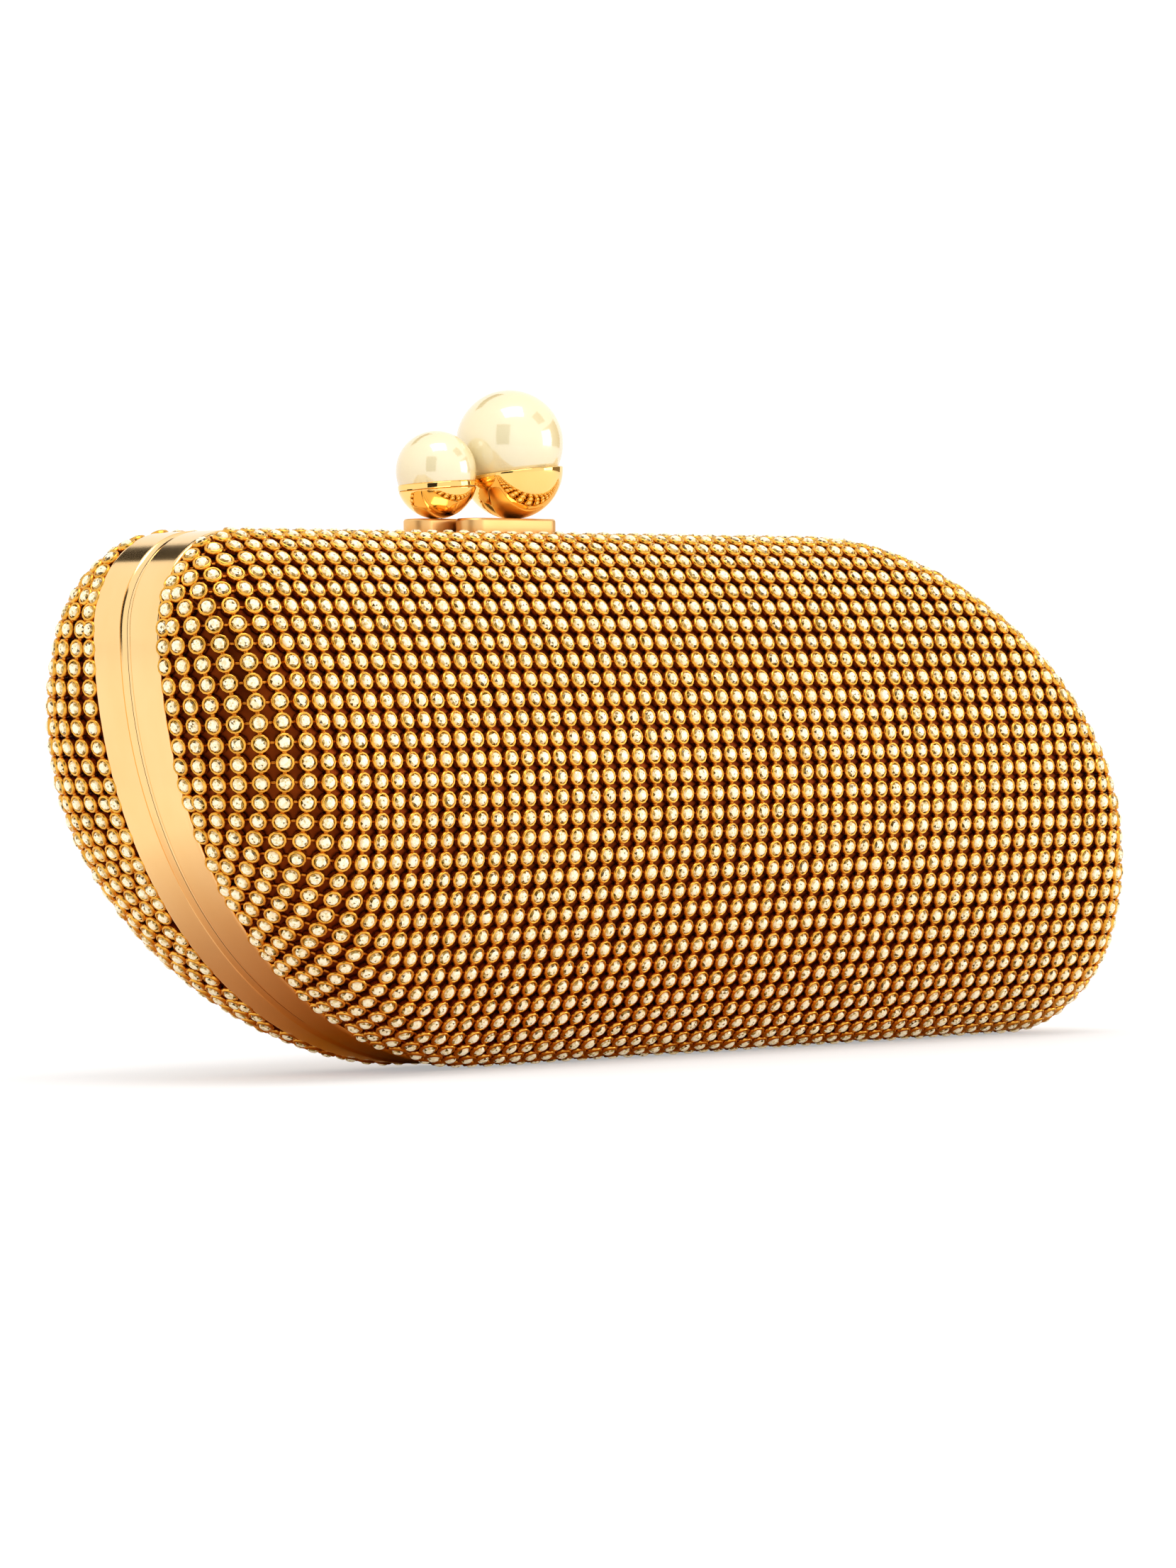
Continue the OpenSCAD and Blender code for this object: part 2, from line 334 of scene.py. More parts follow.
@dataclass(frozen=True)
class CutCrystal:
    """Foil-backed glass stones, whose facets are painted bright, honey or dark as painted
    reflections.

    The table is painted cream white for the light that the foil throws back,
    and the lowest facets are painted darker for the shade of the cup that they
    look into. Each face holds its own random facet number, which picks its
    painted reflection, and its tier: 0 for the table and the star, 1 at the girdle.

    Args:
        name: Name of the material.
        upper: Facet number and colour from which each painted reflection of tier 0 starts.
        lower: The same for tier 1, painted darker for the shade in the cup.
        roughness: Roughness of the polished glass, softened by its fine facets.
        foil: How metallic the foil makes it.
        ior: Refractive index of the glass.
    """

    name: str = "foil_backed_crystal"
    upper: tuple[tuple[float, str], ...] = (
        (0.0, "#7d6638"),
        (0.03, "#dcc48a"),
        (0.1, "#f8e2b2"),
        (0.4, "#fff3d2"),
    )
    lower: tuple[tuple[float, str], ...] = (
        (0.0, "#5a4416"),
        (0.1, "#a3853f"),
        (0.3, "#d6b873"),
        (0.5, "#fbeabf"),
    )
    roughness: float = 0.12
    foil: float = 0.12
    ior: float = 1.56

    def material(self) -> Material:
        """Builds the material.

        Returns:
            The material.
        """
        made, add, shader = new_material(self.name)
        facet = add("ShaderNodeAttribute", attribute_name="facet").outputs["Fac"]
        tier = add("ShaderNodeAttribute", attribute_name="tier").outputs["Fac"]
        # Painted reflections: bright, honey or dark by facet number, darker at the girdle for the
        # shade in the cup.
        painted_flash_ramps = []
        for steps in (self.upper, self.lower):
            ramp = add("ShaderNodeValToRGB", {"Fac": facet})
            stops = ramp.color_ramp
            stops.interpolation = "CONSTANT"
            for k, (position, colour) in enumerate(steps):
                stop = stops.elements[k] if k < 2 else stops.elements.new(position)
                stop.position = position
                stop.color = linear(colour)
            painted_flash_ramps.append(ramp)
        colour = add(
            "ShaderNodeMix", {"Factor": tier, MIX_A: painted_flash_ramps[0], MIX_B: painted_flash_ramps[1]}, data_type="RGBA"
        )
        look = {"Metallic": self.foil, "Roughness": self.roughness, "IOR": self.ior}
        set_inputs(shader, {"Base Color": colour.outputs[MIX_OUT], **look})
        return made


@dataclass(frozen=True)
class GlassPearl:
    """A glass bead under pearl lacquer: cream white, warmer to its edge, in deep gloss.

    Args:
        name: Name of the material.
        body: sRGB colour of the lacquer seen straight on.
        warm: sRGB colour seen at a slant.
        roughness: Roughness of the lacquer's body, under its clear coat.
        cloud: Size in millimetres of the lacquer's unevenness.
        uneven: How far the unevenness shifts its colour either way.
        ripple: Depth in millimetres of the ripples in the lacquer.
        slant: How early the warm colour sets in towards the edge.
        ior: Refractive index of the glass.
        coat_roughness: Roughness of the clear coat.
        coat_ior: The coat's index, high because it stands for many thin mirror layers.
    """

    name: str = "lacquered_glass_pearl"
    body: str = "#efe2b6"
    warm: str = "#deba6c"
    roughness: float = 0.3
    cloud: float = 5.0
    uneven: float = 0.12
    ripple: float = 0.02
    slant: float = 0.35
    ior: float = 1.52
    coat_roughness: float = 0.1
    coat_ior: float = 2.3

    def material(self) -> Material:
        """Builds the material.

        Returns:
            The material.
        """
        made, add, shader = new_material(self.name)
        place = add("ShaderNodeTexCoord").outputs["Object"]
        per_cloud = 1 / (self.cloud * MM)
        cloud = add("ShaderNodeTexNoise", {"Vector": place, "Scale": per_cloud, "Detail": 3.0})
        edge = add("ShaderNodeLayerWeight", {"Blend": self.slant}).outputs["Facing"]
        ends = {"To Min": -self.uneven, "To Max": self.uneven}
        soft = add("ShaderNodeMapRange", {"Value": cloud, **ends})
        amount = add("ShaderNodeMath", {0: edge, 1: soft}, operation="ADD", use_clamp=True)
        colour = add(
            "ShaderNodeMix",
            {"Factor": amount, MIX_A: linear(self.body), MIX_B: linear(self.warm)},
            data_type="RGBA",
        )
        depth = self.ripple * MM
        ripple = add("ShaderNodeBump", {"Height": cloud, "Strength": 0.1, "Distance": depth})
        coat = {"Coat Roughness": self.coat_roughness, "Coat IOR": self.coat_ior}
        look = {"Base Color": colour.outputs[MIX_OUT], "Normal": ripple, "IOR": self.ior}
        set_inputs(shader, {**look, "Roughness": self.roughness, "Coat Weight": 1.0, **coat})
        return made


@dataclass(frozen=True)
class Satin:
    """Satin cloth on card: a fine cross weave with a soft sheen and painted shade in its soft
    creases.

    The thread pitch is real satin's 0.12 mm drawn at 0.4 mm, so that it shows.

    Args:
        name: Name of the material.
        light: sRGB colour of the threads on top.
        dark: sRGB colour of the painted shade between the threads and in the cloth's soft creases.
        thread: Drawn thread pitch in millimetres.
        fold: Size in millimetres of the soft creases that the shade is painted in.
        relief: Height of the threads in millimetres.
        roughness: Roughness of the cloth.
        sheen: Weight and roughness of its sheen.
    """

    name: str = "champagne_satin"
    light: str = "#d8bd8c"
    dark: str = "#a98a58"
    thread: float = 0.4
    fold: float = 18.0
    relief: float = 0.05
    roughness: float = 0.45
    sheen: float = 0.4

    def material(self) -> Material:
        """Builds the material.

        Returns:
            The material.
        """
        made, add, shader = new_material(self.name)
        place = add("ShaderNodeTexCoord").outputs["Object"]
        # A Wave node's bands are 2 pi / 20 apart at scale 1.
        per_thread = 0.314 / (self.thread * MM)
        waves = [
            add(
                "ShaderNodeTexWave",
                {"Vector": place, "Scale": per_thread, "Distortion": 0.4},
                bands_direction=direction,
            ).outputs["Fac"]
            for direction in ("X", "Z")
        ]
        weave = add("ShaderNodeMath", dict(enumerate(waves)), operation="MULTIPLY")
        per_fold = 1 / (self.fold * MM)
        painted_fold_shade = add("ShaderNodeTexNoise", {"Vector": place, "Scale": per_fold, "Detail": 2.0})
        shift = add("ShaderNodeMath", {0: weave, 1: painted_fold_shade}, operation="MULTIPLY")
        # Painted shade: the dark colour between the threads and in the soft creases.
        colour = add(
            "ShaderNodeMix",
            {"Factor": shift, MIX_A: linear(self.light), MIX_B: linear(self.dark)},
            data_type="RGBA",
        )
        depth = self.relief * MM
        bump = add("ShaderNodeBump", {"Height": weave, "Strength": 0.4, "Distance": depth})
        sheen = {"Sheen Weight": self.sheen, "Sheen Roughness": self.sheen}
        look = {"Base Color": colour.outputs[MIX_OUT], "Normal": bump}
        set_inputs(shader, {**look, "Roughness": self.roughness, **sheen})
        return made


class Finish(Enum):
    """Every finish of the bag, named for the real one."""

    # Polished, then satined: broad clear reflections with a soft edge, pale in full light.
    BAND = PlatedMetal(
        "satin_polished_light_gold", "#fdd495", "#f7ca86", 0.14, grain=9.0, stretch=(0.5, 1.0, 0.5)
    )
    # Brushed along its length: an even pale glow with no image in it.
    PLATE = PlatedMetal(
        "brushed_light_gold", "#f4c684", "#ebb872", 0.42, grain=5.0, stretch=(0.3, 1.0, 1.0)
    )
    # Bright plating on pressed cups: a small sharp glint on each rolled rim.
    CUP = PlatedMetal("gold_plated_cup_chain", "#f6bb4e", "#dc9c34", 0.25, grain=4.0)
    # The same plating on the links, painted a deeper orange as the shade between the cups.
    LINK = PlatedMetal("gold_plated_links", "#d98a2a", "#b5651a", 0.3, grain=3.0)
    # Unplated stamped brass, painted dark reddish brown as the shade in the gaps between the cups,
    # which makes the cups stand out.
    SHELL = PlatedMetal("stamped_olive_brass", "#7a320c", "#4c1804", 0.4, grain=5.0)
    # Buffed to a mirror: the mesh and the plate show in the cup as in a curved glass.
    MIRROR = PlatedMetal(
        "mirror_polished_gold", "#ffd684", "#fbcb74", 0.05, spread=0.02, grain=8.0, scratch=0.0005
    )
    # Milled along the pin: fine lines and a duller yellow than the plating.
    BRASS = PlatedMetal(
        "milled_hinge_brass", "#e0b35c", "#c99a48", 0.28, grain=5.0, stretch=(0.3, 1.0, 1.0)
    )
    # Turned steel under nickel: a cool grey that sets the screws off from the gold.
    STEEL = PlatedMetal("turned_nickel_steel", "#c9c5bd", "#aaa59b", 0.25, grain=2.0)
    # Cut glass over foil: each facet gets a painted flash, bright, honey or dark, over its real
    # gloss.
    CRYSTAL = CutCrystal()
    # Lacquered glass: soft cream depth under sharp window lights.
    PEARL = GlassPearl()
    # Woven satin: a faint cross weave with a sheen at a slant.
    SATIN = Satin()

    @cached_property
    def material(self) -> Material:
        """The finish's material, built once."""
        return self.value.material()


def finish_piece(
    piece: Object,
    side: Side,
    finish: Finish | None = None,
    replaces: tuple[str, ...] = (),
) -> None:
    """Gives a finished piece all it needs besides its mesh.

    Args:
        piece: The piece.
        side: The half that it rides on.
        finish: Its finish, or None where its mesh has a material already.
        replaces: The CAD nodes it stands for.
    """
    if finish is not None:
        piece.data.materials.clear()
        piece.data.materials.append(finish.material)
    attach(piece, side.body)
    if replaces:
        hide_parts(*replaces)
    LOG.info("%s: %d faces", piece.name, len(piece.data.polygons))


# ------------------------------------------------------------------- form


@dataclass
class CaseForm:
    """The bag's outline and the layers of its domes, in millimetres.

    The outline has tight corners top left and bottom right, and wide sweeps
    fill the other two. A dome is a crown from top to bottom, rounded off at
    both ends. A layer is drawn in from the outline by its inset.
    """

    length: float
    height: float
    band_depth: float
    dome_rise: float
    hinge_x: float
    hinge_z: float
    hinge_length: float
    open_angle: float
    corner_r: float = 15.0
    crown_exp: float = 1.75
    end_round: float = 14.0
    end_exp: float = 2.5
    crystal_inset: float = 0.3
    mesh_lift: float = 0.4
    hinge_clear: float = 0.3
    base_stops: tuple[float, ...] = (-30.0, 0.0, 20.0, 40.0, 75.0)
    top_steps: int = 8

    @classmethod
    def from_frame(cls) -> "CaseForm":
        """Reads the driving sizes from the CAD frame.

        Returns:
            The form.
        """
        low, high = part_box("front_band")
        crown_low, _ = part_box("front_crystals")
        pin_low, pin_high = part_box("hinge_pin")
        depth = -low.y / MM
        return cls(
            length=(high.x - low.x) / MM,
            height=(high.z - low.z) / MM,
            band_depth=depth,
            dome_rise=-crown_low.y / MM - depth,
            hinge_x=(pin_low.x + pin_high.x) / 2 / MM,
            hinge_z=(pin_low.z + pin_high.z) / 2 / MM,
            hinge_length=(pin_high.x - pin_low.x) / MM,
            open_angle=max(abs(v) for v in frame["joints"][0]["range_deg"]),
        )

    @property
    def sweep_r(self) -> float:
        """Radius of the wide sweeps."""
        return self.height - self.corner_r

    @property
    def pocket(self) -> float:
        """Half the length of the gap that the bands leave for the hinge."""
        return self.hinge_length / 2 + self.hinge_clear

    def right_edge(self, z: float, inset: float) -> float:
        """Finds the right edge of the outline, drawn in by an inset.

        Args:
            z: Height.
            inset: How far it is drawn in.

        Returns:
            The edge's x.
        """
        radius = self.corner_r if z < self.corner_r else self.sweep_r
        rise = z - self.corner_r
        reach = math.sqrt(max(0.0, (radius - inset) ** 2 - rise**2))
        return self.length / 2 - radius + reach

    def left_edge(self, z: float, inset: float) -> float:
        """Left edge: the outline is the same turned half a turn."""
        return -self.right_edge(self.height - z, inset)

    @staticmethod
    def quarter(cx: float, cz: float, r: float, start: float, steps: int) -> list[Station]:
        """A quarter turn of the outline from start degrees, without its first station."""
        turns = arc(0.0, 0.0, 1.0, start, start + 90, steps)[1:]
        return [(cx + r * nx, cz + r * nz, nx, nz) for nx, nz in turns]

    def stations(self, corner_steps: int = 24, sweep_steps: int = 60) -> list[Station]:
        """Walks the outline once, anticlockwise seen from the front.

        Args:
            corner_steps: Steps along each tight corner.
            sweep_steps: Steps along each wide sweep.

        Returns:
            Rows of x, z and the outward normal's x and z.
        """
        half, sweep, tight = self.length / 2, self.sweep_r, self.corner_r
        hair = 0.01
        base = [sweep - half, half - tight, *self.base_stops]
        for gate in (self.hinge_x - self.pocket, self.hinge_x + self.pocket):
            base += [gate - hair, gate + hair]
        top = np.linspace(half - sweep, tight - half, self.top_steps + 1)[1:]
        rows = [(x, 0.0, 0.0, -1.0) for x in sorted(base)]
        rows += self.quarter(half - tight, tight, tight, -90, corner_steps)
        rows += self.quarter(half - sweep, tight, sweep, 0, sweep_steps)
        rows += [(x, self.height, 0.0, 1.0) for x in top]
        rows += self.quarter(tight - half, sweep, tight, 90, corner_steps)
        rows += self.quarter(sweep - half, sweep, sweep, 180, sweep_steps)
        return rows[:-1]

    def dome_depth(self, inward: float, z: float, inset: float, lift: float) -> float:
        """Finds how far a dome layer stands from the seam.

        Args:
            inward: Distance from the layer's nearer end at this height.
            z: Height.
            inset: How far the layer is drawn in from the outline.
            lift: How far its rim stands off the band.

        Returns:
            The distance from the seam.
        """
        half = self.height / 2 - inset
        rise = self.dome_rise - (inset - self.crystal_inset) - lift
        up = min(1.0, abs(z - self.height / 2) / half)
        crown = max(0.0, 1 - up**self.crown_exp) ** (1 / self.crown_exp)
        out = max(0.0, 1 - inward / (self.end_round - inset))
        end = max(0.0, 1 - out**self.end_exp) ** (1 / self.end_exp)
        return self.band_depth + lift + rise * crown * end

    def dome_grid(self, inset: float, lift: float, steps: tuple[int, int, int]) -> np.ndarray:
        """Lays points over a front dome layer.

        Args:
            inset: How far the layer is drawn in from the outline.
            lift: How far its rim stands off the band.
            steps: Steps from bottom to top, around each end, and between the ends.

        Returns:
            An array of row, column, xyz.
        """
        rows, ends, middle = steps
        grid = []
        reach = self.end_round - inset
        curve = reach * (1 - np.cos(np.linspace(0, math.pi / 2, ends + 1)))
        for turn in np.linspace(-math.pi / 2, math.pi / 2, rows + 1):
            z = self.height / 2 + (self.height / 2 - inset) * math.sin(turn)
            left, right = self.left_edge(z, inset), self.right_edge(z, inset)
            between = np.linspace(left + reach, right - reach, middle + 1)[1:-1]
            across = np.concatenate([left + curve, between, (right - curve)[::-1]])
            depths = [self.dome_depth(min(x - left, right - x), z, inset, lift) for x in across]
            grid.append([(x, -depth, z) for x, depth in zip(across, depths)])
        return np.array(grid)


def rim_of(rows: int, columns: int) -> list[int]:
    """Lists a grid's edge points, once around.

    Args:
        rows: Rows of points.
        columns: Columns of points.

    Returns:
        Point numbers.
    """
    last = (rows - 1) * columns
    bottom = list(range(columns))
    right = [r * columns + columns - 1 for r in range(1, rows)]
    top = [last + c for c in range(columns - 2, -1, -1)]
    left = [r * columns for r in range(rows - 2, 0, -1)]
    return bottom + right + top + left


def cells_of(rows: int, columns: int) -> list[list[int]]:
    """Faces of a grid of points, row by row."""
    starts = [r * columns + c for r in range(rows - 1) for c in range(columns - 1)]
    return [[a, a + 1, a + columns + 1, a + columns] for a in starts]


def dome_wall(outer: np.ndarray, inner: np.ndarray, edge_y: float) -> Surface:
    """Closes two dome layers into a wall whose rim runs on as a skirt.

    Args:
        outer: Grid of the outer layer.
        inner: Grid of the inner layer, with as many points.
        edge_y: Y of the skirt's edge.

    Returns:
        The points and the faces.
    """
    rows, columns = outer.shape[:2]
    count = rows * columns
    rim = rim_of(rows, columns)
    sheets = [outer.reshape(-1, 3), inner.reshape(-1, 3)]
    hems = []
    for sheet in sheets:
        hem = sheet[rim].copy()
        hem[:, 1] = edge_y
        hems.append(hem)
    faces = cells_of(rows, columns)
    faces += [[k + count for k in reversed(quad)] for quad in faces]
    outer_hem = [2 * count + k for k in range(len(rim))]
    inner_hem = [k + len(rim) for k in outer_hem]
    loops = [rim, outer_hem, inner_hem, [k + count for k in rim]]
    for near, far in zip(loops, loops[1:]):
        faces += bridge(near, far)
    return np.concatenate(sheets + hems), faces


# ------------------------------------------------------------------- case


@dataclass
class Band:
    """One polished gold ring: bevelled along the seam, rolled along the mesh."""

    form: CaseForm
    side: Side
    wall: float = 1.7
    skin: float = 0.02
    seam_gap: float = 0.05
    bevel_width: float = 1.05
    bevel_drop: float = 0.46
    lip_r: float = 0.45
    run_out: float = 0.3
    inner_bevel: float = 0.2
    foot_bevel: float = 0.15
    foot_depth: float = 1.2
    face_insets: tuple[float, ...] = (1.25, 0.95, 0.65)
    barrel_r: float = 2.25
    groove_margin: float = 2.0

    def seam_depth(self, x: float, z: float) -> float:
        """Finds where the ring starts: at the seam, or clear of the hinge and its groove.

        Args:
            x: Place along the bag.
            z: Height.

        Returns:
            The distance from the seam.
        """
        form = self.form
        below = form.hinge_z - z
        groove = below * math.tan(math.radians(form.open_angle / 2 + self.groove_margin))
        depth = max(self.seam_gap, groove)
        if abs(x - form.hinge_x) < form.pocket and abs(below) < self.barrel_r:
            depth = max(depth, math.sqrt(self.barrel_r**2 - below**2))
        return depth

    def section(self) -> list[tuple[float, float, bool]]:
        """Draws the ring's section.

        Returns:
            Rows of inset, depth, and whether the point follows the seam.
        """
        skin, inner, rim = self.skin, self.wall - self.skin, self.form.band_depth
        bevel = arc(0.0, 0.0, 1.0, 0, 90, 5)
        seam = [(skin + self.bevel_drop * c, self.bevel_width * s) for c, s in bevel]
        seam.append((skin, self.bevel_width + self.run_out))
        outside = [(skin, rim - self.lip_r - self.run_out)]
        outside += arc(skin + self.lip_r, rim - self.lip_r, self.lip_r, 180, 90, 5)
        outside += [(inner - self.inner_bevel, rim), (inner, rim - self.inner_bevel)]
        face = [(inner, self.foot_depth), (inner, self.foot_bevel), (inner - self.foot_bevel, 0.0)]
        face += [(inset, 0.0) for inset in self.face_insets]
        parts = ((seam, True), (outside, False), (face, True))
        return [(inset, depth, follows) for part, follows in parts for inset, depth in part]

    def build(self) -> None:
        """Builds the ring."""
        rings = []
        for x, z, nx, nz in self.form.stations():
            ring = []
            for inset, depth, follows in self.section():
                px, pz = x - inset * nx, z - inset * nz
                start = self.seam_depth(px, pz) if follows else 0.0
                ring.append((px, -depth - start, pz))
            rings.append(ring)
        points, faces = loft(np.array(rings), Ends.JOINED)
        label = self.side.label
        piece = mesh_object(f"{label}_polished_band", points * self.side.flip, faces)
        shade(piece, crease=24)
        finish_piece(piece, self.side, Finish.BAND, (f"{label}_band",))


@dataclass(frozen=True)
class Layer:
    """One wall of a dome.

    Args:
        name: Its word in the names of its piece and its CAD node.
        inset: How far its outer face is drawn in from the outline.
        thick: Its thickness.
        edge: How far from the seam its skirt ends.
        slot: Its slot; not used.
        finish: Its finish.
    """

    name: str
    inset: float
    thick: float
    edge: float
    slot: str
    finish: Finish


@dataclass
class DomeLayers:
    """The stamped shell and the lining inside it."""

    form: CaseForm
    side: Side
    layers: tuple[Layer, ...] = (
        Layer("shell", 1.0, 1.8, 6.82, "shell_metal", Finish.SHELL),
        Layer("lining", 2.9, 0.8, 2.6, "lining_satin", Finish.SATIN),
    )
    steps: tuple[int, int, int] = (72, 16, 40)

    def build(self) -> None:
        """Builds both layers."""
        label = self.side.label
        for layer in self.layers:
            outer, inner = (
                self.form.dome_grid(inset, 0.0, self.steps)
                for inset in (layer.inset, layer.inset + layer.thick)
            )
            points, faces = dome_wall(outer, inner, -layer.edge)
            name = f"{label}_{layer.name}"
            piece = mesh_object(f"{name}_form", points * self.side.flip, faces)
            shade(piece, crease=40)
            finish_piece(piece, self.side, layer.finish, (name,))


# ------------------------------------------------------------- stone mesh


@dataclass
class StoneNet:
    """Rows and columns of linked cups draped over a dome.

    Cup chain can shear but not stretch, so every cup stays a fixed pitch from
    its neighbours along the row and along the column. The net starts from one
    middle row and one column and is laid outwards from their crossing.

    rim_gap is how far from the band the last cups sit, slide how far past that
    they may come from, and crowd how close they may then be. skirt_used is the
    share of the skirt that is laid. core_x and core_y place the inner points
    that tell outward from inward, and feel is half the width that a normal is
    averaged over. narrowest is the least that rows and columns may cross at.
    """

    form: CaseForm
    row_pitch: float = 3.52
    column_pitch: float = 2.976
    start: tuple[float, float, float] = (-37.5, -30.0, 40.3)
    net_inset: float = -0.1
    rim_gap: float = 0.85
    skirt: float = 12.0
    skirt_used: float = 0.6
    slide: float = 3.2
    crowd: float = 1.75
    steps: tuple[int, int, int] = (96, 24, 60)
    core_x: float = 60.0
    core_y: float = 10.0
    feel: float = 0.5
    narrowest: float = 0.25
    walk_rounds: int = 12
    settle_rounds: int = 10
    most_rows: int = 40
    most_columns: int = 60
    places: dict[Cell, Vector] = field(default_factory=dict)
    tree: BVHTree | None = None

    @property
    def last_y(self) -> float:
        """Y on the skirt past which no cup is laid."""
        return -self.form.band_depth + self.skirt * self.skirt_used

    def drape(self) -> None:
        """Lays the whole net."""
        self.tree = self.surface()
        self.places[0, 0] = self.on_surface(Vector(self.start))
        for up, along in ((0, 1), (1, 0), (0, -1), (-1, 0)):
            self.walk(up, along)
        for up in (1, -1):
            for along in (1, -1):
                self.fill(up, along)

    def surface(self) -> BVHTree:
        """Makes the surface of the cups' rims, with its skirt running on past the seam.

        Returns:
            The surface, ready to be searched.
        """
        grid = self.form.dome_grid(self.net_inset, self.form.mesh_lift, self.steps)
        rows, columns = grid.shape[:2]
        points = grid.reshape(-1, 3)
        rim = rim_of(rows, columns)
        hem = points[rim].copy()
        hem[:, 1] += self.skirt
        faces = cells_of(rows, columns)
        faces += bridge(rim, [len(points) + k for k in range(len(rim))])
        return BVHTree.FromPolygons(np.concatenate([points, hem]).tolist(), faces)

    def on_surface(self, point: Vector) -> Vector:
        """The nearest point of the surface."""
        return self.tree.find_nearest(point)[0]

    def outward(self, point: Vector) -> Vector:
        """Finds the surface's outward normal, averaged over a cup's width.

        Args:
            point: A place on the surface.

        Returns:
            The normal.
        """
        core_x = max(-self.core_x, min(self.core_x, point.x))
        core = Vector((core_x, self.core_y, self.form.height / 2))
        total = Vector()
        for dx, dz in ((0, 0), (1, 0), (-1, 0), (0, 1), (0, -1)):
            normal = self.tree.find_nearest(point + Vector((dx, 0, dz)) * self.feel)[1]
            total += normal if normal.dot(point - core) > 0 else -normal
        return total.normalized()

    def walk(self, up: int, along: int) -> None:
        """Lays half of the middle row or column, outwards from the start.

        Args:
            up: 1 or -1 lays the column up or down.
            along: 1 or -1 lays the row to the right or left.
        """
        start = self.places[0, 0]
        pitch, fixed = (self.row_pitch, 2) if along else (self.column_pitch, 0)
        here, heading = start, Vector((along, 0, up))
        for count in range(1, self.most_columns):
            ahead = here + heading * pitch
            for _ in range(self.walk_rounds):
                ahead = self.on_surface(ahead)
                ahead[fixed] = start[fixed]
                reach = ahead - here
                ahead = here + reach * (pitch / reach.length)
                ahead[fixed] = start[fixed]
            if ahead.y > self.last_y:
                break
            heading = (ahead - here).normalized()
            here = ahead
            self.places[up * count, along * count] = here.copy()

    def fill(self, up: int, along: int) -> None:
        """Fills one quarter of the net, each cup from the three before it.

        Args:
            up: 1 for an upper quarter, -1 for a lower one.
            along: 1 for a right quarter, -1 for a left one.
        """
        for i in range(1, self.most_rows):
            for j in range(1, self.most_columns):
                keys = ((i - 1, j), (i, j - 1), (i - 1, j - 1))
                near = [self.places.get((up * row, along * column)) for row, column in keys]
                if None in near:
                    continue
                below, beside, corner = near
                spot = self.settle(below, beside, below + beside - corner)
                if spot is not None:
                    self.places[up * i, along * j] = spot

    def settle(self, below: Vector, beside: Vector, guess: Vector) -> Vector | None:
        """Finds the place on the surface at both pitches.

        Args:
            below: The neighbour in the same column.
            beside: The neighbour in the same row.
            guess: Where the search starts.

        Returns:
            The place, or None where the net can't go.
        """
        spot = guess
        for _ in range(self.settle_rounds):
            spot, normal, _, _ = self.tree.find_nearest(spot)
            to_below, to_beside = spot - below, spot - beside
            far_below, far_beside = to_below.length, to_beside.length
            first = normal.orthogonal().normalized()
            second = normal.cross(first)
            rows = (
                (to_below.dot(first) / far_below, to_below.dot(second) / far_below),
                (to_beside.dot(first) / far_beside, to_beside.dot(second) / far_beside),
            )
            across = rows[0][0] * rows[1][1] - rows[0][1] * rows[1][0]
            if abs(across) < self.narrowest:
                return None
            miss = (self.column_pitch - far_below, self.row_pitch - far_beside)
            move_a = (miss[0] * rows[1][1] - miss[1] * rows[0][1]) / across
            move_b = (miss[1] * rows[0][0] - miss[0] * rows[1][0]) / across
            move = first * move_a + second * move_b
            if move.length > self.row_pitch:
                return None
            spot = spot + move
        return None if spot.y > self.last_y else self.on_surface(spot)

    def kept(self) -> dict[Cell, Vector]:
        """Picks the cups that sit on the dome, and slides those just past its rim back.

        Returns:
            Row and column numbers to places.
        """
        limit = -(self.form.band_depth + self.rim_gap)
        inside = {key: p for key, p in self.places.items() if p.y <= limit}
        for key, p in sorted(self.places.items()):
            if limit < p.y <= limit + self.slide:
                moved = self.on_surface(Vector((p.x, limit, p.z)))
                if all((moved - q).length > self.crowd for q in inside.values()):
                    inside[key] = moved
        return inside


@dataclass
class CupShape:
    """A round drawn cup: a straight wall and a broad rolled rim over the stone.

    Each field is the radius and height of one ring, with the rim's crest at 0.
    """

    foot: Pair = (1.42, -1.1)
    shoulder: Pair = (1.45, -0.5)
    outer_slope: Pair = (1.38, -0.14)
    crest: Pair = (1.2, 0.0)
    inner_slope: Pair = (1.04, -0.08)
    mouth: Pair = (0.96, -0.3)
    sides: int = 12

    def build(self) -> Object:
        """Builds one cup.

        Returns:
            The cup, with its foot below.
        """
        outside = [self.foot, self.shoulder, self.outer_slope]
        profile = outside + [self.crest, self.inner_slope, self.mouth]
        cup = mesh_object("cup_shape", *lathe(profile, self.sides, Ends.JOINED))
        for face in cup.data.polygons:
            face.use_smooth = True
        return cup


